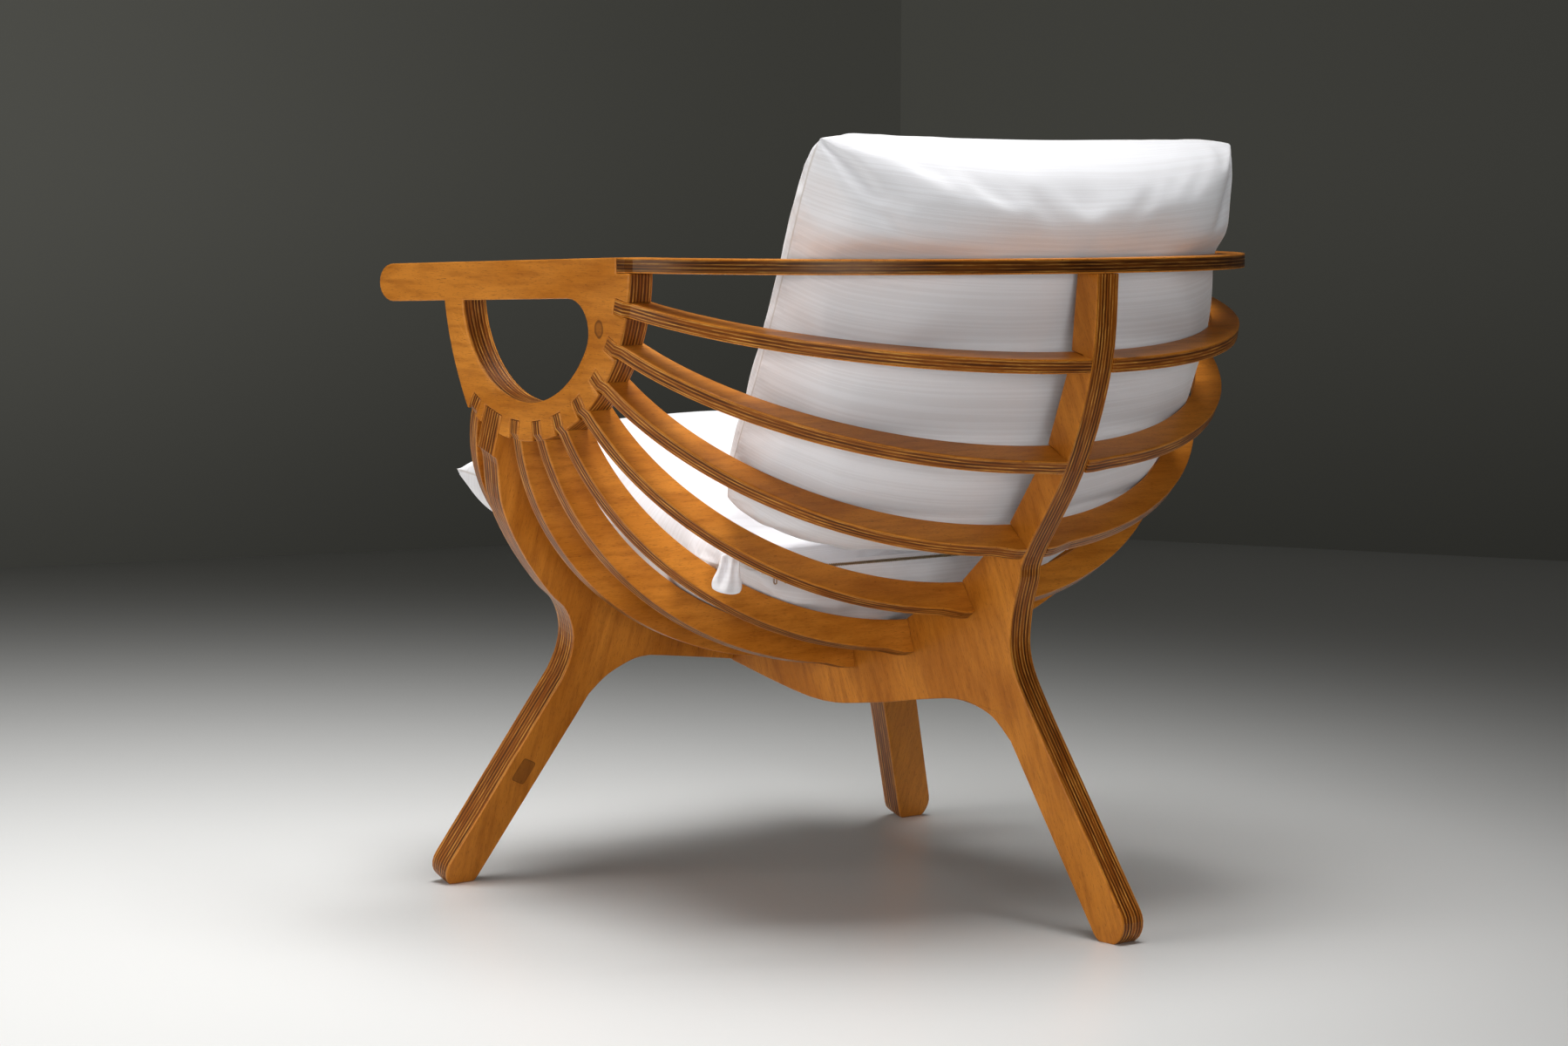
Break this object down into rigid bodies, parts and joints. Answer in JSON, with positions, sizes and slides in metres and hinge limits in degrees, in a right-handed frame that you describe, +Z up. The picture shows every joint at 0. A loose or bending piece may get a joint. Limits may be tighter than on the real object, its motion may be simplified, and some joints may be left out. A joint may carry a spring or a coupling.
{
  "type": "lounge chair",
  "caption": "Three-legged lounge chair: plywood hoops fan out between two arm frames into an open shell that holds loose seat and back cushions.",
  "frame": {"origin": "on the floor, under the middle of the chair's box", "axes": "+Z up, +Y towards the back of the chair, +X towards the sitter's left arm"},
  "size_m": [0.808, 0.7642, 0.8035],
  "materials": {
    "plywood": "clear satin lacquer on brown-stained birch plywood, with the plies showing on every sawn edge",
    "cover": "white slubbed cotton with fine level lines",
    "zip_metal": "dull antique brass"
  },
  "bodies": {
    "chair_frame": {"left_arm_frame": "plywood", "right_arm_frame": "plywood", "spine": "plywood", "front_frame": "plywood", "front_hoop": "plywood", "top_rail": "plywood", "rib_2": "plywood", "rib_3": "plywood", "rib_4": "plywood", "rib_5": "plywood", "rib_6": "plywood", "rib_7": "plywood", "rib_8": "plywood"},
    "seat": {"seat_cushion": "cover", "seat_zip": "cover"},
    "back": {"back_cushion": "cover"},
    "outer_slider": {"zip_slider_outer": "zip_metal"},
    "inner_slider": {"zip_slider_inner": "zip_metal"},
    "outer_pull": {"zip_pull_outer": "zip_metal"},
    "inner_pull": {"zip_pull_inner": "zip_metal"}
  },
  "joints": [
    {"name": "seat_cushion_lift", "type": "slide", "parent": "chair_frame", "child": "seat", "axis": [0, -0.8291, 0.5591], "range_m": [0, 0.25]},
    {"name": "back_cushion_lift", "type": "slide", "parent": "seat", "child": "back", "axis": [0, -0.2, 0.9798], "range_m": [0, 0.2]},
    {"name": "outer_slider_run", "type": "slide", "parent": "seat", "child": "outer_slider", "axis": [1, 0, 0], "range_m": [0, 0.009]},
    {"name": "inner_slider_run", "type": "slide", "parent": "seat", "child": "inner_slider", "axis": [-1, 0, 0], "range_m": [0, 0.4]},
    {"name": "outer_pull_swing", "type": "hinge", "parent": "outer_slider", "child": "outer_pull", "pos_m": [0.204, 0.0708, 0.362], "axis": [1, 0, 0], "range_deg": [0, 150]},
    {"name": "inner_pull_swing", "type": "hinge", "parent": "inner_slider", "child": "inner_pull", "pos_m": [0.19, 0.0708, 0.362], "axis": [1, 0, 0], "range_deg": [0, 150]}
  ]
}
